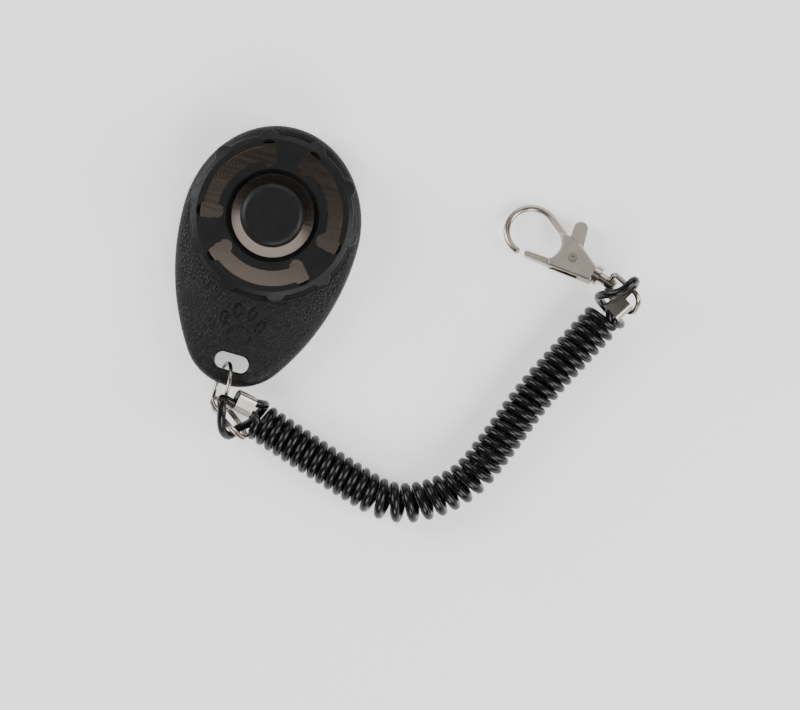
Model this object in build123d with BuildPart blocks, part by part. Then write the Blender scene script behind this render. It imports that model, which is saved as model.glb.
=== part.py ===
from build123d import *
import os
from math import acos, atan2, cos, degrees, hypot, pi, radians, sin, sqrt, tan

# Clicker trainer on a coiled cord with a trigger snap, in millimetres.
# Origin: under the middle of the case, on the surface it lies on. +Y runs to the wide, button
# end, -Y to the slotted tip, +Z out of the front face.

# ---------------------------------------------------------------- driving dimensions
# case outline, egg shaped
half_length = 33.0
half_width = 22.3
widest_y = 8.0
tip_radius = 13.9
# case section
wall = 1.8
crown_round = 2.2
underside_round = 1.5
crown_z = 11.9  # top of the domed front at the wide end
crown_across = 70.0  # crown radius across the case
crown_high_y = 30.0
crown_slope = 2.0  # degrees, down to the tip
tip_rise = 4.4  # how far the underside lifts at the tip
tail_rise = 1.4  # and at the wide end
parting_z = 5.4
cavity_end_y = -22.0  # solid plastic beyond this, round the slot
peg_spots = [(-10.0, -11.0), (10.0, -11.0), (0.0, -18.5)]
peg_radius = 1.2
peg_play = 0.05
socket_floor = 2.2  # where the pegs' holes start
peg_bottom = 3.0
peg_top = 9.6
socket_radius = 2.3
socket_top = 7.5
# lap joint between the covers
tongue_inset = 0.95
tongue_height = 1.2
tongue_root = 1.0
tongue_foot = 0.05  # how far the tongue is let into the wall
lap_play = 0.1
# raised disc on the front
disc_y = 10.5
disc_radius = 20.0
disc_top = 12.9
lug_count = 10
lug_radius = 2.6
lug_reach = 21.5
disc_edge = 0.4
bevel_radius = 18.8  # outside this the disc's face slopes down to the shoulders
bevel_slope = 24.0  # degrees
opening_radius = 10.3
opening_chamfer = 1.2
window_count = 3
window_turn = 30.0  # degrees, to the middle of the first window
window_radius = 15.5
window_width = 3.8
window_half_angle = 41.0
lobe_radius = 1.8
lobe_spread = 1.6  # lobe centres stand this far either side of the window's middle line
# click plate and button
plate_radius = 18.0
plate_thickness = 0.3
plate_dome = 0.7
plate_hole = 1.7
plate_top = 11.05
plate_play = 0.3
plate_seat_play = 0.05
floor_root = 0.9  # the ring and sockets start this high, inside the floor
dome_radius = 11.5
ring_radius = 17.6  # outside of the ring that carries the plate
ring_wall = 1.8
button_radius = 7.85
button_top = 16.9
button_bottom = 12.0
button_edge = 1.6
button_wall = 1.6
stem_radius = 1.6
stem_bottom = 8.6
stem_chamfer = 0.4
retainer_radius = 3.6
retainer_thickness = 0.5
retainer_top = 11.3
# cord slot in the tip
slot_y = -27.1
slot_length = 8.8
slot_width = 4.2
slot_edge = 0.9
# pressed paw print
paw_depth = 0.45
paw_reach = 2.0
pad_size = (6.4, 4.8)
pad_y = -20.2
toe_size = (2.2, 3.9)
toe_places = [(1.9, -14.2, 6), (4.6, -16.8, 22)]  # x, y, lean in degrees; each has a twin
# rings at the tip
slot_ring_radius = 6.2
slot_ring_wire = 0.5
slot_ring_centre = Vector(-0.6, -33.7, 6.6)
slot_ring_tilt = 17.0
split_ring_radius = 6.2
split_ring_wire = 0.34
split_ring_gap = 0.02
split_ring_centre = Vector(3.3, -40.6, 7.1)
split_ring_heading = -35.0
split_ring_lean = -7.0
# coiled cord, which lies in a bend on the surface
cord_radius = 1.1
coil_radius = 5.1
coil_z = 5.1
bend_share = 0.45  # of the shorter run beside a corner, taken by its arc
coil_route = [
    (10.8, -39.4),
    (21.5, -42.8),
    (35.2, -47.0),
    (49.5, -50.8),
    (63.7, -41.7),
    (69.7, -27.0),
    (74.2, -14.2),
    (80.6, -1.4),
    (86.4, 10.0),
]
# crimp sleeves, each holding two runs of cord side by side
crimp_length = 5.0
crimp_lane = 1.2
crimp_wall = 0.3
crimp_play = 0.05
case_crimp_centre = Vector(5.9, -35.95, 11.3)
case_crimp_axis = Vector(0.98, -0.196, -0.60).normalized()
case_crimp_across = Vector(0.196, 0.98, 0.0).normalized()
snap_crimp_centre = Vector(88.3, 12.6, 9.5)
snap_crimp_axis = Vector(0.529, 0.849, -0.1).normalized()
snap_crimp_across = Vector(0.849, -0.529, 0.0).normalized()
crimp_mouth = 0.1  # how far a run goes on straight past the sleeve
# cord between the two crimp lanes at the case: down beside the coil, through the split ring
case_loop_route = [
    (10.7, -34.9, 7.8),
    (11.1, -34.9, 4.0),
    (10.2, -36.8, 1.25),
    (9.0, -39.6, 1.5),
    (7.7, -41.2, 4.4),
    (6.0, -42.2, 7.0),
    (4.9, -44.9, 9.6),
    (3.0, -44.3, 13.2),
    (1.9, -41.4, 15.6),
    (1.5, -38.6, 16.5),
    (0.5, -36.5, 16.3),
    (0.9, -36.0, 14.1),
]
case_coil_entry = Vector(12.2, -38.6, 8.7)
# and at the snap: round the swivel loop's upper arm, then once round the end of the coil
snap_loop_route = [
    (91.0, 19.6, 8.9),
    (90.0, 20.1, 13.2),
    (88.0, 16.4, 13.6),
    (85.4, 15.0, 12.4),
    (83.2, 14.2, 9.2),
    (83.0, 13.6, 4.8),
    (84.98, 12.34, 1.12),
    (88.99, 10.09, 1.12),
    (90.8, 8.6, 4.8),
    (88.93, 8.46, 8.62),
]
snap_coil_entry = Vector(83.9, 9.3, 8.6)
# trigger snap and its swivel
snap_point = Vector(84.8, 17.75, 6.8)  # middle of the swivel loop's cross bar
snap_heading = -16.9
snap_pitch = 9.0
snap_roll = -15.0
loop_roll = 51.2
loop_rock = -12.0
loop_half_width = 3.85
loop_depth = 9.2
loop_wire = 0.65
loop_corner = 1.0
loop_bow_corner = 3.0
post_radius = 0.8
post_play = 0.05
post_head = 1.3
post_head_length = 0.6
post_head_round = 0.36
post_root = 5.2
boss_radius = 1.5
boss_half_length = 0.95
boss_gap = 0.06
collar_radius = 2.4
collar_from = 4.6
collar_to = 3.0
hook_centre = (-23.5, 0.4)
hook_radius = 6.2
hook_wire = 0.85
hook_root = (-15.5, 3.9)
hook_tip_angle = 266.0
body_thickness = 3.6
body_edge = 0.4
body_clearance = 23.4  # beyond every edge of the body's outline
lever_slot = 1.9
lever_thickness = 1.7
lever_slot_end = -7.6
lever_slot_root = (-14.9, 1.0)
hub_radius = 2.0
gate_tip = (-21.2, -5.3)
gate_tip_radius = 0.7
gate_heel = (-15.0, -4.0)
gate_heel_radius = 0.9
tab_centre = (-13.7, 7.8)
tab_radius = 1.75
rivet_x = -11.1
rivet_radius = 0.75
rivet_head = 1.15
rivet_head_height = 0.25
rivet_bore = 0.4
rivet_play = 0.05
spring_wire = 0.14
spring_radius = 1.2
spring_recess_radius = 1.6
spring_recess_depth = 0.85
spring_turns = 1.5
spring_gap = 0.04  # between its turns
spring_play = 0.02  # above the floor of its recess

# ---------------------------------------------------------------- case shape
def egg_outline(inset=0.0):
    """The case outline, pulled in by inset."""
    width = half_width - inset
    tip = tip_radius - inset
    tip_y = tip_radius - half_length
    drop = widest_y - tip_y
    side = (half_width**2 + drop**2 - tip_radius**2) / (2 * (half_width - tip_radius)) - inset
    turn = degrees(atan2(drop, side - width))
    end_length = half_length - widest_y - inset
    with BuildSketch() as outline:
        with BuildLine():
            EllipticalCenterArc((0, widest_y), width, end_length, start_angle=0, arc_size=180)
            CenterArc((width - side, widest_y), side, 0, -turn)
            CenterArc((0, tip_y), tip, -turn, 2 * turn - 180)
            CenterArc((side - width, widest_y), side, 180, turn)
        make_face()
    return outline.sketch


def crown_drop(x, y):
    """How far the domed front lies below its highest point."""
    across = crown_across - sqrt(crown_across**2 - x**2)
    return across + (crown_high_y - y) * tan(radians(crown_slope))


def domed_block(inset):
    """The case's outer form, or with an inset the space inside its walls."""
    reach = half_width + 8
    slope = radians(crown_slope)
    end = Plane(
        (0, crown_high_y, crown_z - inset),
        x_dir=(1, 0, 0),
        z_dir=(0, -cos(slope), -sin(slope)),
    )
    across = crown_across - inset
    edge = sqrt(across**2 - reach**2) - across
    with BuildPart() as block:
        with BuildSketch(end):
            with BuildLine():
                Polyline((reach, edge), (reach, -2 * crown_z), (-reach, -2 * crown_z), (-reach, edge))
                RadiusArc((-reach, edge), (reach, edge), across)
            make_face()
        extrude(amount=3 * half_length, both=True)
        with BuildSketch():
            add(egg_outline(inset))
        extrude(amount=crown_z + 5, mode=Mode.INTERSECT)
        with BuildSketch(Plane.YZ):
            with BuildLine():
                front, back = -half_length - 1, half_length + 1
                flat_front, flat_back = -10.0, 20.0
                floor = inset
                Line((flat_front, floor), (flat_back, floor))
                ThreePointArc(
                    (flat_back, floor),
                    ((flat_back + back) / 2, floor + tail_rise / 4),
                    (back, floor + tail_rise),
                )
                Line((back, floor + tail_rise), (back, crown_z + 5))
                Line((back, crown_z + 5), (front, crown_z + 5))
                Line((front, crown_z + 5), (front, floor + tip_rise))
                ThreePointArc(
                    (front, floor + tip_rise),
                    ((front + flat_front) / 2, floor + tip_rise / 4),
                    (flat_front, floor),
                )
            make_face()
        extrude(amount=reach, both=True, mode=Mode.INTERSECT)
    return block.part


def case_form():
    """The whole case as one block, with rounded edges."""
    with BuildPart() as form:
        add(domed_block(0))
        top_face = form.faces().filter_by(lambda f: f.normal_at().Z > 0.8)
        fillet(top_face.edges(), radius=crown_round)
        low_faces = form.faces().filter_by(lambda f: f.normal_at().Z < -0.8)
        rim = [e for f in low_faces for e in f.edges() if abs(e.center().Z) > 0.01 or abs(e.center().X) > 5]
        fillet(rim, radius=underside_round)
    return form.part


def inner_form():
    """The space inside the case, which stops short of the solid tip."""
    with BuildPart() as inside:
        add(domed_block(wall))
        split(bisect_by=Plane.XZ.offset(-cavity_end_y), keep=Keep.BOTTOM)
    return inside.part


def tongue_outline(outer_inset, inner_inset):
    """Band inside the case wall, for the lap joint, beside the inner space only."""
    with BuildSketch() as band:
        add(egg_outline(outer_inset))
        add(egg_outline(inner_inset), mode=Mode.SUBTRACT)
        with Locations((0, cavity_end_y)):
            Rectangle(
                2 * half_width,
                half_length,
                align=(Align.CENTER, Align.MAX),
                mode=Mode.SUBTRACT,
            )
    return band.sketch


def slot_rim(cover, end):
    """The edges round one mouth of the cord slot: end 1 is the front, 0 the back."""
    reach = slot_length / 2 + 0.1
    rim = cover.edges().filter_by(
        lambda e: abs(e.center().X) < reach
        and abs(e.center().Y - slot_y) < slot_width / 2 + 0.1
        and abs(e.tangent_at(0.5).Z) < 0.7
    )
    middle = parting_z
    return rim.filter_by(lambda e: (e.center().Z - middle) * (2 * end - 1) > 1.0)


def paw_marks():
    """Place, size and lean of the pad and of the four toes."""
    marks = [(0.0, pad_y, pad_size, 0.0)]
    for x, y, toe_lean in toe_places:
        marks.append((x, y, toe_size, -toe_lean))
        marks.append((-x, y, toe_size, toe_lean))
    return marks


def window_line():
    """Middle line of one window, about the disc's centre."""
    with BuildLine() as line:
        CenterArc((0, 0), window_radius, -window_half_angle, 2 * window_half_angle)
    return line.wires()[0]


# ---------------------------------------------------------------- front cover
with BuildPart() as front_cover:
    add(case_form())
    # raised disc with its lugs
    with BuildSketch(Plane.XY.offset(parting_z)):
        with Locations((0, disc_y)):
            Circle(disc_radius)
            with PolarLocations(lug_reach - lug_radius, lug_count, start_angle=90 + 180 / lug_count):
                Circle(lug_radius)
    extrude(amount=disc_top - parting_z)
    bevel_end = lug_reach + 1
    bevel_drop = (bevel_end - bevel_radius) * tan(radians(bevel_slope))
    with BuildSketch(Plane.XZ.offset(-disc_y)):
        with BuildLine():
            Polyline(
                (bevel_radius, disc_top),
                (bevel_end, disc_top - bevel_drop),
                (bevel_end, disc_top + 1),
                (bevel_radius, disc_top + 1),
                close=True,
            )
        make_face()
    revolve(axis=Axis((0, disc_y, 0), (0, 0, 1)), mode=Mode.SUBTRACT)
    bevel_face = front_cover.faces().filter_by(GeomType.CONE)[0]
    outer_rim = bevel_face.edges().filter_by(
        lambda e: hypot((e @ 0).X, (e @ 0).Y - disc_y) > bevel_radius + disc_edge / 2
    )
    fillet(outer_rim, radius=disc_edge)
    split(bisect_by=Plane.XY.offset(parting_z), keep=Keep.TOP)
    # inside space, lap joint and the click plate's pocket
    add(inner_form(), mode=Mode.SUBTRACT)
    with BuildSketch(Plane.XY.offset(parting_z)):
        add(tongue_outline(tongue_inset - lap_play, wall + lap_play))
    extrude(amount=tongue_height + lap_play, mode=Mode.SUBTRACT)
    with BuildSketch(Plane.XY.offset(parting_z)):
        with Locations((0, disc_y)):
            Circle(plate_radius + plate_play)
    extrude(amount=plate_top + plate_seat_play - parting_z, mode=Mode.SUBTRACT)
    # button opening with its chamfered lip
    with BuildSketch(Plane.XZ.offset(-disc_y)):
        with BuildLine():
            Polyline(
                (0, plate_top - 1),
                (opening_radius, plate_top - 1),
                (opening_radius, disc_top - opening_chamfer),
                (opening_radius + opening_chamfer, disc_top),
                (opening_radius + opening_chamfer, disc_top + 1),
                (0, disc_top + 1),
                close=True,
            )
        make_face()
    revolve(axis=Axis((0, disc_y, 0), (0, 0, 1)), mode=Mode.SUBTRACT)
    # bone-shaped windows
    with BuildSketch(Plane.XY.offset(plate_top)):
        with Locations((0, disc_y)):
            with PolarLocations(0, window_count, start_angle=window_turn):
                SlotArc(window_line(), height=window_width)
                for lobe_angle in (-window_half_angle, window_half_angle):
                    for lobe_reach in (window_radius - lobe_spread, window_radius + lobe_spread):
                        with Locations((
                            lobe_reach * cos(radians(lobe_angle)),
                            lobe_reach * sin(radians(lobe_angle)),
                        )):
                            Circle(lobe_radius)
    extrude(amount=disc_top, mode=Mode.SUBTRACT)
    # cord slot
    with BuildSketch():
        with Locations((0, slot_y)):
            SlotOverall(slot_length, slot_width)
    extrude(amount=disc_top, mode=Mode.SUBTRACT)
    fillet(slot_rim(front_cover, 1), radius=slot_edge)
    # pressed paw print
    for x, y, size, lean_angle in paw_marks():
        with BuildSketch(Plane.XY.offset(crown_z - crown_drop(x, y) - paw_depth)):
            with Locations(Location((x, y), lean_angle)):
                Ellipse(size[0] / 2, size[1] / 2)
        extrude(amount=paw_reach, mode=Mode.SUBTRACT)
    # locating pegs
    with BuildSketch(Plane.XY.offset(peg_bottom)):
        with Locations(*peg_spots):
            Circle(peg_radius)
    extrude(amount=peg_top - peg_bottom)
front_cover.part.label = "front_cover"

# ---------------------------------------------------------------- rear cover
with BuildPart() as rear_cover:
    add(case_form())
    split(bisect_by=Plane.XY.offset(parting_z), keep=Keep.BOTTOM)
    add(inner_form(), mode=Mode.SUBTRACT)
    with BuildSketch(Plane.XY.offset(parting_z - tongue_root)):
        add(tongue_outline(tongue_inset, wall + tongue_foot))
    extrude(amount=tongue_root + tongue_height)
    # ring that carries the click plate's rim
    with BuildSketch(Plane.XY.offset(floor_root)):
        with Locations((0, disc_y)):
            Circle(ring_radius)
            Circle(ring_radius - ring_wall, mode=Mode.SUBTRACT)
    extrude(amount=plate_top - plate_thickness - floor_root)
    # sockets for the pegs
    with BuildSketch(Plane.XY.offset(floor_root)):
        with Locations(*peg_spots):
            Circle(socket_radius)
    extrude(amount=socket_top - floor_root)
    with BuildSketch(Plane.XY.offset(socket_floor)):
        with Locations(*peg_spots):
            Circle(peg_radius + peg_play)
    extrude(amount=socket_top, mode=Mode.SUBTRACT)
    # cord slot
    with BuildSketch():
        with Locations((0, slot_y)):
            SlotOverall(slot_length, slot_width)
    extrude(amount=disc_top, mode=Mode.SUBTRACT)
    fillet(slot_rim(rear_cover, 0), radius=slot_edge)
rear_cover.part.label = "rear_cover"

# ---------------------------------------------------------------- click plate and button
with BuildPart() as click_plate:
    with BuildSketch(Plane.XZ.offset(-disc_y)):
        with BuildLine():
            rim_low = plate_top - plate_thickness
            Line((plate_hole, rim_low + plate_dome), (plate_hole, plate_top + plate_dome))
            Spline(
                (plate_hole, plate_top + plate_dome),
                (dome_radius, plate_top),
                tangents=((1, 0), (1, 0)),
            )
            Line((dome_radius, plate_top), (plate_radius, plate_top))
            Line((plate_radius, plate_top), (plate_radius, rim_low))
            Line((plate_radius, rim_low), (dome_radius, rim_low))
            Spline(
                (dome_radius, rim_low),
                (plate_hole, rim_low + plate_dome),
                tangents=((-1, 0), (-1, 0)),
            )
        make_face()
    revolve(axis=Axis((0, disc_y, 0), (0, 0, 1)))
click_plate.part.label = "click_plate"

with BuildPart() as button:
    with BuildSketch(Plane.XY.offset(button_bottom)):
        with Locations((0, disc_y)):
            Circle(button_radius)
    extrude(amount=button_top - button_bottom)
    fillet(button.edges().group_by(Axis.Z)[-1], radius=button_edge)
    with BuildSketch(Plane.XY.offset(button_bottom)):
        with Locations((0, disc_y)):
            Circle(button_radius - button_wall)
    extrude(amount=button_top - button_wall - button_bottom, mode=Mode.SUBTRACT)
    with BuildSketch(Plane.XY.offset(stem_bottom)):
        with Locations((0, disc_y)):
            Circle(stem_radius)
    extrude(amount=button_top - button_wall - stem_bottom)
    chamfer(button.edges().group_by(Axis.Z)[0], length=stem_chamfer)
button.part.label = "button"

with BuildPart() as button_retainer:
    with BuildSketch(Plane.XY.offset(retainer_top - retainer_thickness)):
        with Locations((0, disc_y)):
            Circle(retainer_radius)
            Circle(stem_radius, mode=Mode.SUBTRACT)
    extrude(amount=retainer_thickness)
button_retainer.part.label = "button_retainer"

# ---------------------------------------------------------------- rings
tilt = radians(slot_ring_tilt)
slot_ring_plane = Plane(slot_ring_centre, x_dir=(0, 1, 0), z_dir=(-cos(tilt), 0, sin(tilt)))
with BuildPart(slot_ring_plane) as slot_ring:
    Torus(slot_ring_radius, slot_ring_wire)
slot_ring.part.label = "slot_ring"

heading = radians(split_ring_heading)
lean = radians(split_ring_lean)
split_ring_along = Vector(cos(heading), sin(heading), 0)
split_ring_side = Vector(-sin(heading), cos(heading), 0)
split_ring_up = Vector(0, 0, cos(lean)) + split_ring_side * sin(lean)
split_ring_axis = split_ring_along.cross(split_ring_up)
with BuildPart() as split_ring:
    turn_pitch = 2 * split_ring_wire + split_ring_gap
    start = split_ring_centre - split_ring_axis * turn_pitch
    with BuildLine() as turns:
        Helix(
            turn_pitch,
            2 * turn_pitch,
            split_ring_radius,
            center=start,
            direction=split_ring_axis,
        )
    with BuildSketch(Plane(turns.line @ 0, z_dir=turns.line % 0)):
        Circle(split_ring_wire)
    sweep(path=turns.line, is_frenet=True)
split_ring.part.label = "split_ring"

# ---------------------------------------------------------------- coiled cord
def cord_tube(label, points, radius):
    """A tube of straight runs joined by tangent arcs as large as the runs allow."""
    runs = [after - before for before, after in zip(points, points[1:])]
    bends = []
    for before, after in zip(runs, runs[1:]):
        turn = radians(before.get_angle(after))
        bends.append(bend_share * min(before.length, after.length) / tan(turn / 2))
    with BuildPart() as tube:
        with BuildLine() as path:
            FilletPolyline(*points, radius=bends)
        with BuildSketch(Plane(path.line @ 0, z_dir=path.line % 0)):
            Circle(radius)
        sweep(path=path.line)
    length = path.wires()[0].length
    print(label, "bend radii", [round(bend, 1) for bend in bends], "length", round(length, 1))
    expected = pi * radius**2 * length
    print(label, "volume", round(tube.part.volume, 1), "section by length", round(expected, 1))
    return tube.part


def crimp_run(centre, axis, across, side):
    """The two ends of one cord run through a crimp sleeve: side is 1 or -1."""
    reach = crimp_length / 2 + crimp_mouth
    middle = centre + across * (side * crimp_lane)
    return [middle - axis * reach, middle + axis * reach]


def crimp_sleeve(centre, axis, across):
    inner_height = 2 * (cord_radius + crimp_play)
    inner_width = inner_height + 2 * crimp_lane
    with BuildPart() as sleeve:
        with BuildSketch(Plane(centre, x_dir=across, z_dir=axis)):
            SlotOverall(inner_width + 2 * crimp_wall, inner_height + 2 * crimp_wall)
            SlotOverall(inner_width, inner_height, mode=Mode.SUBTRACT)
        extrude(amount=crimp_length / 2, both=True)
    return sleeve.part


with BuildPart() as crimp_case:
    add(crimp_sleeve(case_crimp_centre, case_crimp_axis, case_crimp_across))
crimp_case.part.label = "crimp_case"

with BuildPart() as crimp_snap:
    add(crimp_sleeve(snap_crimp_centre, snap_crimp_axis, snap_crimp_across))
crimp_snap.part.label = "crimp_snap"

case_tail = crimp_run(case_crimp_centre, case_crimp_axis, case_crimp_across, 1)
case_run = crimp_run(case_crimp_centre, case_crimp_axis, case_crimp_across, -1)
case_points = case_tail + [Vector(*p) for p in case_loop_route] + case_run + [case_coil_entry]
with BuildPart() as cord_loop_case:
    add(cord_tube("cord_loop_case", case_points, cord_radius))
cord_loop_case.part.label = "cord_loop_case"

with BuildPart() as coil_cord:
    add(cord_tube("coil_cord", [Vector(x, y, coil_z) for x, y in coil_route], coil_radius))
coil_cord.part.label = "coil_cord"

snap_run = crimp_run(snap_crimp_centre, snap_crimp_axis, snap_crimp_across, -1)
snap_tail = crimp_run(snap_crimp_centre, snap_crimp_axis, snap_crimp_across, 1)
snap_points = [snap_coil_entry] + snap_run + [Vector(*p) for p in snap_loop_route] + snap_tail
with BuildPart() as cord_loop_snap:
    add(cord_tube("cord_loop_snap", snap_points, cord_radius))
cord_loop_snap.part.label = "cord_loop_snap"

# ---------------------------------------------------------------- trigger snap
# the snap's own axes: x along the swivel post and away from the hook, y to the thumb tab
swivel_heading = radians(snap_heading)
swivel_pitch = radians(snap_pitch)
swivel_axis = Vector(
    cos(swivel_pitch) * cos(swivel_heading),
    cos(swivel_pitch) * sin(swivel_heading),
    sin(swivel_pitch),
)
swivel_up = Vector(
    -sin(swivel_pitch) * cos(swivel_heading),
    -sin(swivel_pitch) * sin(swivel_heading),
    cos(swivel_pitch),
)
swivel_side = swivel_up.cross(swivel_axis)
roll = radians(snap_roll)
snap_plane = Plane(
    snap_point,
    x_dir=swivel_axis,
    z_dir=swivel_up * cos(roll) - swivel_side * sin(roll),
)
# the swivel loop's axes: x from its cross bar to its bow, y along the bar to the upper arm
roll = radians(loop_roll)
rock = radians(loop_rock)
loop_side = swivel_side * cos(roll) + swivel_up * sin(roll)
loop_along = swivel_axis * cos(rock) - swivel_axis.cross(loop_side) * sin(rock)
loop_plane = Plane(snap_point, x_dir=loop_along, z_dir=loop_along.cross(loop_side))


def post_plane(distance):
    """A plane across the swivel post, that far along it."""
    return Plane(snap_point + swivel_axis * distance, x_dir=snap_plane.y_dir, z_dir=swivel_axis)


with BuildPart() as swivel_loop:
    with BuildLine(loop_plane) as loop_line:
        FilletPolyline(
            (0, -loop_half_width),
            (loop_depth, -loop_half_width),
            (loop_depth, loop_half_width),
            (0, loop_half_width),
            radius=[loop_corner, loop_bow_corner, loop_bow_corner, loop_corner],
            close=True,
        )
    with BuildSketch(Plane(loop_line.line @ 0, z_dir=loop_line.line % 0)):
        Circle(loop_wire)
    sweep(path=loop_line.line)
    with BuildSketch(post_plane(-boss_half_length)):
        Circle(boss_radius)
    extrude(amount=2 * boss_half_length)
    with BuildSketch(post_plane(-boss_half_length - 1)):
        Circle(post_radius + post_play)
    extrude(amount=2 * boss_half_length + 2, mode=Mode.SUBTRACT)
swivel_loop.part.label = "swivel_loop"

with BuildPart() as swivel_post:
    with BuildSketch(post_plane(-post_root)):
        Circle(post_radius)
    extrude(amount=post_root + boss_half_length + boss_gap + post_head_length)
    with BuildSketch(post_plane(-collar_to)):
        Circle(post_head)
    extrude(amount=collar_to - boss_half_length - boss_gap)
    with BuildSketch(post_plane(boss_half_length + boss_gap)):
        Circle(post_head)
    extrude(amount=post_head_length)
    far_rim = swivel_post.edges().sort_by(Axis(snap_point, swivel_axis))[-1]
    fillet(far_rim, radius=post_head_round)
swivel_post.part.label = "swivel_post"

with BuildPart() as snap_body:
    with BuildSketch(snap_plane):
        with BuildLine():
            ThreePointArc((-17.5, 3.9), (-15.0, 0.4), (-16.1, -3.8))
            Polyline((-16.1, -3.8), (-15.0, -5.0), (-4.3, -2.7), (-4.3, 1.1))
            Polyline((-4.3, 1.1), (-11.7, 4.2), (-14.5, 4.5), (-17.5, 3.9))
        make_face()
    extrude(amount=body_thickness / 2, both=True)
    faces = snap_body.faces().sort_by(Axis(snap_point, snap_plane.z_dir))
    chamfer(faces[-1].edges() + faces[0].edges(), length=body_edge)
    # slot for the lever, which stops short of the hook's root
    with BuildSketch(snap_plane):
        root_x, root_y = lever_slot_root
        far = body_clearance
        Polygon(
            (-far, -far),
            (lever_slot_end, -far),
            (lever_slot_end, far),
            (root_x, far),
            (root_x, root_y),
            (-far, root_y),
            align=None,
        )
    extrude(amount=lever_slot / 2, both=True, mode=Mode.SUBTRACT)
    # round collar on the post's axis
    with BuildSketch(post_plane(-collar_from)):
        Circle(collar_radius)
    extrude(amount=collar_from - collar_to)
    # hook wire
    root_angle = degrees(atan2(hook_root[1] - hook_centre[1], hook_root[0] - hook_centre[0]))
    root_distance = hypot(hook_root[0] - hook_centre[0], hook_root[1] - hook_centre[1])
    tangent_angle = root_angle + degrees(acos(hook_radius / root_distance))
    with BuildLine(snap_plane) as hook_line:
        bend = CenterArc(hook_centre, hook_radius, tangent_angle, hook_tip_angle - tangent_angle)
        Line(hook_root, bend @ 0)
    hook_wire_line = hook_line.wires()[0]
    with BuildSketch(Plane(hook_wire_line @ 0, z_dir=hook_wire_line % 0)):
        Circle(hook_wire)
    sweep(path=hook_wire_line)
    tip = snap_plane.from_local_coords(
        (
            hook_centre[0] + hook_radius * cos(radians(hook_tip_angle)),
            hook_centre[1] + hook_radius * sin(radians(hook_tip_angle)),
            0,
        )
    )
    with Locations(tip):
        Sphere(hook_wire)
    # holes for the rivet and the post
    with BuildSketch(snap_plane):
        with Locations((rivet_x, 0)):
            Circle(rivet_radius)
    extrude(amount=body_thickness, both=True, mode=Mode.SUBTRACT)
    with BuildSketch(post_plane(-post_root)):
        Circle(post_radius)
    extrude(amount=post_root, mode=Mode.SUBTRACT)
snap_body.part.label = "snap_body"


def tapered_link(first, first_radius, second, second_radius):
    """Outline round two circles."""
    with BuildSketch() as link:
        with BuildLine():
            CenterArc(first, first_radius, 0, 360)
            CenterArc(second, second_radius, 0, 360)
        make_hull()
    return link.sketch


with BuildPart() as snap_lever:
    with BuildSketch(snap_plane):
        add(tapered_link(gate_tip, gate_tip_radius, gate_heel, gate_heel_radius))
        add(tapered_link(gate_heel, gate_heel_radius, (rivet_x, 0), hub_radius))
        add(tapered_link(tab_centre, tab_radius, (rivet_x, 0), hub_radius))
        with Locations((rivet_x, 0)):
            Circle(rivet_radius + rivet_play, mode=Mode.SUBTRACT)
    extrude(amount=lever_thickness / 2, both=True)
    with BuildSketch(snap_plane.offset(-lever_thickness / 2)):
        with Locations((rivet_x, 0)):
            Circle(spring_recess_radius)
    extrude(amount=spring_recess_depth, mode=Mode.SUBTRACT)
snap_lever.part.label = "snap_lever"

with BuildPart() as lever_rivet:
    with BuildSketch(snap_plane):
        with Locations((rivet_x, 0)):
            Circle(rivet_radius)
    extrude(amount=body_thickness / 2, both=True)
    for side in (-1, 1):
        with BuildSketch(snap_plane.offset(side * (body_thickness + rivet_head_height) / 2)):
            with Locations((rivet_x, 0)):
                Circle(rivet_head)
        extrude(amount=rivet_head_height / 2, both=True)
    with BuildSketch(snap_plane):
        with Locations((rivet_x, 0)):
            Circle(rivet_bore)
    extrude(amount=body_thickness, both=True, mode=Mode.SUBTRACT)
lever_rivet.part.label = "lever_rivet"

with BuildPart() as lever_spring:
    spring_floor = -lever_thickness / 2 + spring_wire + spring_play
    spring_pitch = 2 * spring_wire + spring_gap
    spring_start = snap_plane.from_local_coords((rivet_x, 0, spring_floor))
    with BuildLine() as spring_line:
        Helix(
            spring_pitch,
            spring_turns * spring_pitch,
            spring_radius,
            center=spring_start,
            direction=snap_plane.z_dir,
        )
    with BuildSketch(Plane(spring_line.line @ 0, z_dir=spring_line.line % 0)):
        Circle(spring_wire)
    sweep(path=spring_line.line, is_frenet=True)
lever_spring.part.label = "lever_spring"

# ---------------------------------------------------------------- files
os.makedirs("parts", exist_ok=True)
export_step(front_cover.part, "parts/front_cover.step")
export_step(rear_cover.part, "parts/rear_cover.step")
export_step(click_plate.part, "parts/click_plate.step")
export_step(button.part, "parts/button.step")
export_step(button_retainer.part, "parts/button_retainer.step")
export_step(slot_ring.part, "parts/slot_ring.step")
export_step(split_ring.part, "parts/split_ring.step")
export_step(crimp_case.part, "parts/crimp_case.step")
export_step(cord_loop_case.part, "parts/cord_loop_case.step")
export_step(coil_cord.part, "parts/coil_cord.step")
export_step(cord_loop_snap.part, "parts/cord_loop_snap.step")
export_step(crimp_snap.part, "parts/crimp_snap.step")
export_step(swivel_loop.part, "parts/swivel_loop.step")
export_step(swivel_post.part, "parts/swivel_post.step")
export_step(snap_body.part, "parts/snap_body.step")
export_step(snap_lever.part, "parts/snap_lever.step")
export_step(lever_rivet.part, "parts/lever_rivet.step")
export_step(lever_spring.part, "parts/lever_spring.step")
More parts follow.
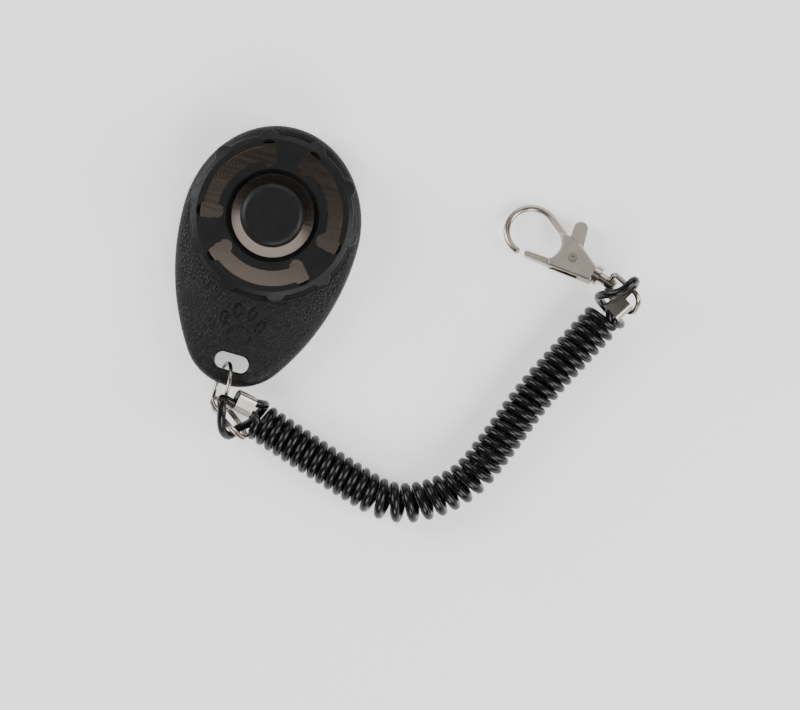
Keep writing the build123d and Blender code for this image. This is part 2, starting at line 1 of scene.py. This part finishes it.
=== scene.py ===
import bpy
from math import cos, pi, radians, sin
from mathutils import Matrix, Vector


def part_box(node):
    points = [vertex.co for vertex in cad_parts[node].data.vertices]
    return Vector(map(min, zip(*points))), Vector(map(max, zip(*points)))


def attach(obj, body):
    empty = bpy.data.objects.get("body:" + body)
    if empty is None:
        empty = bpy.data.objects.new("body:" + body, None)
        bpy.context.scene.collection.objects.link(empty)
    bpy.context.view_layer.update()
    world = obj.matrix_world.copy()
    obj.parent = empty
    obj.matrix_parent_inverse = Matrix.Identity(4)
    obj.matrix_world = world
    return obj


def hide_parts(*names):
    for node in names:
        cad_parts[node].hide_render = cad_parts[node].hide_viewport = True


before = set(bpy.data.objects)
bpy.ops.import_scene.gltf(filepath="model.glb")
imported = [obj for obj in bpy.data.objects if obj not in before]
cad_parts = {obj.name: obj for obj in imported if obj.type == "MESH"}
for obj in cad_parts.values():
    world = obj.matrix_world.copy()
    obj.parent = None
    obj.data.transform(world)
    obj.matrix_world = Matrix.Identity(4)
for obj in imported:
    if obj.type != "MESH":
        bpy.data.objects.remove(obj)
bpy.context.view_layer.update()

# Clicker trainer on a coiled cord with a trigger snap. Metres, in the part's own frame.
MM = 0.001

# ---------------------------------------------------------------- camera
VIEW_CENTRE = Vector((0.0397, -0.0138, 0.0))
VIEW_HEIGHT = 0.80
VIEW_TURN = radians(16.07)
VIEW_WIDTH = 0.199  # seen from side to side at the coil's own height
COIL_HEIGHT = 0.0051

camera_data = bpy.data.cameras.new("camera")
camera_data.sensor_fit = "HORIZONTAL"
camera_data.sensor_width = 36.0
camera_data.lens = 36.0 * (VIEW_HEIGHT - COIL_HEIGHT) / VIEW_WIDTH
camera_data.clip_start = 0.01
camera_data.clip_end = 10.0
camera = bpy.data.objects.new("camera", camera_data)
bpy.context.collection.objects.link(camera)
camera.location = VIEW_CENTRE + Vector((0, 0, VIEW_HEIGHT))
camera.rotation_euler = (0, 0, VIEW_TURN)
bpy.context.scene.camera = camera


# ---------------------------------------------------------------- the cord's line
CORD_RADIUS = 1.1 * MM
HELIX_RADIUS = 4.0 * MM
HELIX_PITCH = 2.5 * MM
COIL_REACH = HELIX_RADIUS + CORD_RADIUS
TURN_POINTS = 12
CRIMP_LENGTH = 5.0 * MM
CRIMP_LANE = 1.2 * MM
CRIMP_MOUTH = 0.1 * MM
CURVE_STEPS = 8  # segments between control points
GUIDE_STEPS = 24
BEND_PASSES = 30  # how often the coil's curvature is smoothed

COIL_ROUTE = [
    (8.0, -38.5, 5.1),
    (21.5, -42.8, 5.1),
    (35.2, -47.0, 5.1),
    (49.5, -50.8, 5.1),
    (63.7, -41.7, 5.1),
    (69.7, -27.0, 5.1),
    (74.2, -14.2, 5.1),
    (80.6, -1.4, 5.1),
    (86.4, 10.0, 5.1),
]
CASE_LOOP_ROUTE = [
    (10.7, -34.9, 7.8),
    (11.1, -34.9, 4.0),
    (10.2, -36.8, 1.25),
    (9.0, -39.6, 1.5),
    (7.7, -41.2, 4.4),
    (6.0, -42.2, 7.0),
    (4.9, -44.9, 9.6),
    (3.0, -44.3, 13.2),
    (1.9, -41.4, 15.6),
    (1.5, -38.6, 16.5),
    (0.5, -36.5, 16.3),
    (0.9, -36.0, 14.1),
]
SNAP_LOOP_ROUTE = [
    (91.0, 19.6, 8.9),
    (90.0, 20.1, 13.2),
    (88.0, 16.4, 13.6),
    (85.4, 15.0, 12.4),
    (83.2, 14.2, 9.2),
    (83.0, 13.6, 4.8),
    (84.98, 12.34, 1.12),
    (88.99, 10.09, 1.12),
    (90.8, 8.6, 4.8),
    (88.93, 8.46, 8.62),
]


class Crimp:
    """Where a crimp sleeve is, along which line, and in which direction its runs lie apart."""

    def __init__(self, centre, along, across):
        self.centre = Vector(centre) * MM
        self.along = Vector(along).normalized()
        self.across = Vector(across).normalized()

    def run(self, side):
        """The two ends of one cord run through the sleeve."""
        middle = self.centre + self.across * (side * CRIMP_LANE)
        reach = self.along * (CRIMP_LENGTH / 2 + CRIMP_MOUTH)
        return [middle - reach, middle + reach]


CASE_CRIMP = Crimp((5.9, -35.95, 11.3), (0.98, -0.196, -0.60), (0.196, 0.98, 0.0))
SNAP_CRIMP = Crimp((88.3, 12.6, 9.5), (0.529, 0.849, -0.1), (0.849, -0.529, 0.0))


def scaled(points):
    return [Vector(point) * MM for point in points]


def nurbs_curve(name, points):
    """An open order 3 NURBS curve with those control points."""
    data = bpy.data.curves.new(name, "CURVE")
    data.dimensions = "3D"
    data.resolution_u = CURVE_STEPS
    spline = data.splines.new("NURBS")
    spline.points.add(len(points) - 1)
    for place, point in zip(spline.points, points):
        place.co = (*point, 1.0)
    spline.order_u = 3
    spline.use_endpoint_u = True
    curve = bpy.data.objects.new(name, data)
    bpy.context.collection.objects.link(curve)
    return curve


def read_line(curve):
    """Points that follow a curve which has no bevel."""
    mesh = bpy.data.meshes.new_from_object(curve)
    points = [vertex.co.copy() for vertex in mesh.vertices]
    bpy.data.meshes.remove(mesh)
    return points


def smoothed(values, passes):
    for _ in range(passes):
        inner = [
            (before + 2 * here + after) / 4
            for before, here, after in zip(values, values[1:], values[2:])
        ]
        values = [values[0]] + inner + [values[-1]]
    return values


def helix_points(centres, first_angle, start, stop):
    """Control points that wind round a line of centres, and touch on the inside of its bends.

    The angle is 0 at the top and grows to the right-hand side as one looks along the line.
    """
    runs = [after - before for before, after in zip(centres, centres[1:])]
    steps = [run.length for run in runs]
    bends = [0.0]
    for before, after, step in zip(runs, runs[1:], steps):
        bends.append(abs(before.angle(after)) / step)
    bends = smoothed(bends, BEND_PASSES)
    points = []
    angle = first_angle
    travelled = 0.0
    due = first_angle
    spacing = 2 * pi / TURN_POINTS
    control_radius = HELIX_RADIUS / cos(spacing / 2)
    for centre, run, step, bend in zip(centres, runs, steps, bends):
        rate = 2 * pi * (1 - COIL_REACH * bend) / HELIX_PITCH
        while due <= angle + rate * step:
            part = (due - angle) / rate
            if start <= travelled + part <= stop:
                along = run.normalized()
                right = along.cross(Vector((0, 0, 1))).normalized()
                offset = right * sin(due) + Vector((0, 0, 1)) * cos(due)
                points.append(centre + along * part + offset * control_radius)
            due += spacing
        angle += rate * step
        travelled += step
    return points


def line_length(points):
    return sum((after - before).length for before, after in zip(points, points[1:]))


coil_guide = nurbs_curve("coil_guide", scaled(COIL_ROUTE))
coil_guide.data.resolution_u = GUIDE_STEPS
coil_centres = read_line(coil_guide)
bpy.data.objects.remove(coil_guide)
coil_span = line_length(coil_centres)

COIL_LEAD_IN = 2.4 * MM
COIL_LEAD_OUT = 1.2 * MM
coil_turns = helix_points(coil_centres, 0.0, COIL_LEAD_IN, coil_span - COIL_LEAD_OUT)
case_tail = CASE_CRIMP.run(1)
case_run = CASE_CRIMP.run(-1)
snap_run = SNAP_CRIMP.run(-1)
snap_tail = SNAP_CRIMP.run(1)
cord_points = case_tail + scaled(CASE_LOOP_ROUTE) + case_run
cord_points += coil_turns
cord_points += snap_run + scaled(SNAP_LOOP_ROUTE) + snap_tail

coil_cord = nurbs_curve("coiled_cord", cord_points)
cord_length = line_length(read_line(coil_cord))
coil_cord.data.bevel_depth = CORD_RADIUS
coil_cord.data.bevel_resolution = 3
coil_cord.data.use_fill_caps = True
print("cord length", round(cord_length, 4), "coil line", round(coil_span, 4))


# ---------------------------------------------------------------- materials
NOISE_LOW = 0.3  # noise seldom goes below or above these two
NOISE_HIGH = 0.7
# sockets of the colour mixing node
MIX_FACTOR = 0
MIX_FIRST = 6
MIX_SECOND = 7
MIX_RESULT = 2


class Shader:
    """Builds one material: a principled surface with a little node tree in front of it."""

    def __init__(self, name, colour, roughness, metallic=0.0, specular=0.5):
        self.material = bpy.data.materials.new(name)
        self.material.use_nodes = True
        self.tree = self.material.node_tree
        self.surface = self.tree.nodes["Principled BSDF"]
        self.set("Base Color", (*colour, 1.0))
        self.set("Roughness", roughness)
        self.set("Metallic", metallic)
        self.set("Specular IOR Level", specular)
        self.place = self.node("ShaderNodeTexCoord", {}).outputs["Object"]

    def set(self, socket, value):
        self.surface.inputs[socket].default_value = value

    def node(self, kind, inputs, operation=None):
        """A new node, with each input set to a value or joined to another node's output."""
        made = self.tree.nodes.new(kind)
        if operation is not None:
            made.operation = operation
        for socket, value in inputs.items():
            if isinstance(value, bpy.types.NodeSocket):
                self.tree.links.new(value, made.inputs[socket])
            else:
                made.inputs[socket].default_value = value
        return made

    def noise(self, scale, detail=3.0, vector=None):
        """Cloudy variation from 0 to 1; scale is in features per metre."""
        inputs = {"Vector": vector or self.place, "Scale": scale, "Detail": detail}
        return self.node("ShaderNodeTexNoise", inputs)

    def ramp(self, value, start, end, first, last):
        """Turns start..end into first..last."""
        inputs = {"Value": value, "From Min": start, "From Max": end, "To Min": first, "To Max": last}
        return self.node("ShaderNodeMapRange", inputs).outputs["Result"]

    def maths(self, operation, first, second=0.0):
        return self.node("ShaderNodeMath", {0: first, 1: second}, operation).outputs[0]

    def mix_colour(self, factor, first, second):
        made = self.tree.nodes.new("ShaderNodeMix")
        made.data_type = "RGBA"
        self.tree.links.new(factor, made.inputs[MIX_FACTOR])
        made.inputs[MIX_FIRST].default_value = (*first, 1.0)
        made.inputs[MIX_SECOND].default_value = (*second, 1.0)
        self.tree.links.new(made.outputs[MIX_RESULT], self.surface.inputs["Base Color"])

    def rough(self, noise, smoothest, roughest):
        """Varies the roughness between two values with a noise."""
        value = self.ramp(noise, NOISE_LOW, NOISE_HIGH, smoothest, roughest)
        self.tree.links.new(value, self.surface.inputs["Roughness"])

    def bump(self, height, distance):
        made = self.node("ShaderNodeBump", {"Height": height, "Distance": distance, "Strength": 1.0})
        self.tree.links.new(made.outputs["Normal"], self.surface.inputs["Normal"])


# leather grain: about one cell a millimetre, with bent edges
GRAIN_CELLS = 1150.0
GRAIN_BEND = 0.6 * MM
GRAIN_BEND_SCALE = 700.0
GRAIN_EDGE = 0.35
GRAIN_DEPTH = 0.09 * MM
GRAIN_POWDER = 0.4
SMOOTH_POWDER = 0.25
SMOOTH_ABOVE = 12.6 * MM
MASK_EDGE = 0.1 * MM


def leather_cells(shader):
    """Height of a leather grain, from 0 in the creases to 1 on the cells."""
    bend = shader.noise(GRAIN_BEND_SCALE, 2.0).outputs["Color"]
    factors = {0: bend, 1: (GRAIN_BEND,) * 3, 2: shader.place}
    bent = shader.node("ShaderNodeVectorMath", factors, "MULTIPLY_ADD")
    cells = shader.node("ShaderNodeTexVoronoi", {"Vector": bent.outputs[0], "Scale": GRAIN_CELLS})
    cells.feature = "DISTANCE_TO_EDGE"
    return shader.ramp(cells.outputs["Distance"], 0.0, GRAIN_EDGE, 0.0, 1.0)


def outside_disc(shader, centre, radius):
    """1 on the shell, 0 on the raised disc and inside its rim."""
    place = shader.node("ShaderNodeSeparateXYZ", {"Vector": shader.place})
    dx = shader.maths("SUBTRACT", place.outputs["X"], centre[0])
    dy = shader.maths("SUBTRACT", place.outputs["Y"], centre[1])
    square = shader.maths("ADD", shader.maths("MULTIPLY", dx, dx), shader.maths("MULTIPLY", dy, dy))
    reach = shader.maths("SQRT", square)
    outside = shader.ramp(reach, radius - MASK_EDGE, radius + MASK_EDGE, 0.0, 1.0)
    below = shader.ramp(place.outputs["Z"], SMOOTH_ABOVE, SMOOTH_ABOVE + MASK_EDGE, 1.0, 0.0)
    return shader.maths("MULTIPLY", outside, below)


def grained_plastic(name, colour, smooth_centre=None, smooth_radius=0.0):
    """Black moulded plastic with a leather grain, smooth within a circle if one is given."""
    shader = Shader(name, colour, 0.46, specular=0.30)
    powder = shader.maths("MULTIPLY", shader.noise(2600.0).outputs["Fac"], GRAIN_POWDER)
    grain = shader.maths("ADD", leather_cells(shader), powder)
    if smooth_centre is not None:
        grain = shader.maths("MULTIPLY", grain, outside_disc(shader, smooth_centre, smooth_radius))
        fine = shader.maths("MULTIPLY", shader.noise(5000.0, 2.0).outputs["Fac"], SMOOTH_POWDER)
        grain = shader.maths("ADD", grain, fine)
    shader.rough(shader.noise(300.0).outputs["Fac"], 0.42, 0.52)
    shader.bump(grain, GRAIN_DEPTH)
    return shader.material


def smooth_plastic(name, colour, roughness, specular, grain_depth):
    """Fine matte or semi-gloss moulded plastic."""
    shader = Shader(name, colour, roughness, specular=specular)
    shader.rough(shader.noise(400.0).outputs["Fac"], roughness - 0.05, roughness + 0.06)
    shader.bump(shader.noise(4000.0, 2.0).outputs["Fac"], grain_depth)
    return shader.material


def plated_metal(name, colour, shade, roughness):
    """Nickel plate, slightly duller in patches."""
    shader = Shader(name, colour, roughness, metallic=1.0)
    patches = shader.noise(220.0).outputs["Fac"]
    shader.mix_colour(shader.ramp(patches, 0.35, 0.75, 0.0, 1.0), colour, shade)
    shader.rough(shader.noise(300.0, 2.0).outputs["Fac"], roughness - 0.02, roughness + 0.03)
    shader.bump(shader.noise(500.0, 2.0).outputs["Fac"], 0.004 * MM)
    return shader.material


def brushed_steel(name, colour, roughness):
    """Rolled spring steel, with its grain along X."""
    shader = Shader(name, colour, roughness, metallic=1.0)
    stretch = shader.node("ShaderNodeMapping", {"Vector": shader.place, "Scale": (60.0, 1400.0, 400.0)})
    lines = shader.noise(1.0, 2.0, stretch.outputs["Vector"])
    shader.rough(lines.outputs["Fac"], roughness - 0.015, roughness + 0.015)
    return shader.material


disc_low, disc_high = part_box("click_plate")
disc_centre = ((disc_low[0] + disc_high[0]) / 2, (disc_low[1] + disc_high[1]) / 2)
BLACK = (0.0052, 0.0051, 0.0050)
NICKEL = (0.43, 0.385, 0.34)
NICKEL_SHADE = (0.36, 0.315, 0.275)
WIRE = (0.33, 0.29, 0.255)
WIRE_SHADE = (0.26, 0.225, 0.195)

shell_black = grained_plastic("shell_black", BLACK, disc_centre, 21.0 * MM)
back_black = grained_plastic("back_black", BLACK)
button_black = smooth_plastic("button_black", (0.0070, 0.0070, 0.0072), 0.44, 0.28, 0.010 * MM)
cord_black = smooth_plastic("cord_black", (0.0060, 0.0060, 0.0062), 0.24, 0.3, 0.004 * MM)
wire_nickel = plated_metal("wire_nickel", WIRE, WIRE_SHADE, 0.24)
cast_nickel = plated_metal("cast_nickel", NICKEL, NICKEL_SHADE, 0.28)
sleeve_nickel = plated_metal("sleeve_nickel", (0.47, 0.43, 0.38), NICKEL_SHADE, 0.3)
spring_steel = brushed_steel("spring_steel", (0.38, 0.32, 0.275), 0.15)

NODE_MATERIALS = {
    "front_cover": shell_black,
    "rear_cover": back_black,
    "button": button_black,
    "click_plate": spring_steel,
    "button_retainer": spring_steel,
    "slot_ring": wire_nickel,
    "split_ring": wire_nickel,
    "crimp_case": sleeve_nickel,
    "crimp_snap": sleeve_nickel,
    "swivel_loop": wire_nickel,
    "swivel_post": cast_nickel,
    "snap_body": cast_nickel,
    "snap_lever": cast_nickel,
    "lever_rivet": wire_nickel,
    "lever_spring": spring_steel,
}


def paint(piece, material):
    piece.data.materials.clear()
    piece.data.materials.append(material)


for node, material in NODE_MATERIALS.items():
    paint(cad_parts[node], material)

# ---------------------------------------------------------------- cord piece
paint(coil_cord, cord_black)
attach(coil_cord, "cord")
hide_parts("coil_cord", "cord_loop_case", "cord_loop_snap")

# ---------------------------------------------------------------- floor, lights, world
FLOOR_HALF = 1.5
FLOOR_Z = -0.05 * MM
floor_mesh = bpy.data.meshes.new("floor")
corners = [(-1, -1), (1, -1), (1, 1), (-1, 1)]
floor_points = [(x * FLOOR_HALF, y * FLOOR_HALF, FLOOR_Z) for x, y in corners]
floor_mesh.from_pydata(floor_points, [], [(0, 1, 2, 3)])
floor = bpy.data.objects.new("floor", floor_mesh)
bpy.context.collection.objects.link(floor)
floor_paint = Shader("floor_white", (0.93, 0.93, 0.93), 0.9, specular=0.1)
floor_paint.set("Emission Color", (1.0, 1.0, 1.0, 1.0))
floor_paint.set("Emission Strength", 0.65)
paint(floor, floor_paint.material)


def soft_light(name, place, size, power, aim):
    data = bpy.data.lights.new(name, "AREA")
    data.shape = "RECTANGLE"
    data.size, data.size_y = size
    data.energy = power
    lamp = bpy.data.objects.new(name, data)
    bpy.context.collection.objects.link(lamp)
    lamp.location = place
    lamp.rotation_euler = (Vector(aim) - Vector(place)).to_track_quat("-Z", "Y").to_euler()
    return lamp


AIM = tuple(VIEW_CENTRE)
soft_light("key_left", (-0.60, 0.05, 0.40), (0.35, 0.6), 5.0, AIM)
soft_light("key_right", (0.68, 0.0, 0.40), (0.35, 0.6), 5.0, AIM)
soft_light("low_right", (0.30, -0.60, 0.45), (0.4, 0.3), 4.0, AIM)
soft_light("back", (0.0, 0.70, 0.40), (0.6, 0.3), 2.0, AIM)
soft_light("overhead", (-0.10, -0.28, 1.30), (0.8, 0.56), 1.2, (-0.10, -0.28, 0.0))
soft_light("north", (0.0, 0.78, 0.98), (0.5, 0.4), 0.65, AIM)

world = bpy.data.worlds.new("studio")
world.use_nodes = True
world.node_tree.nodes["Background"].inputs["Color"].default_value = (0.95, 0.97, 1.0, 1.0)
world.node_tree.nodes["Background"].inputs["Strength"].default_value = 0.02
bpy.context.scene.world = world
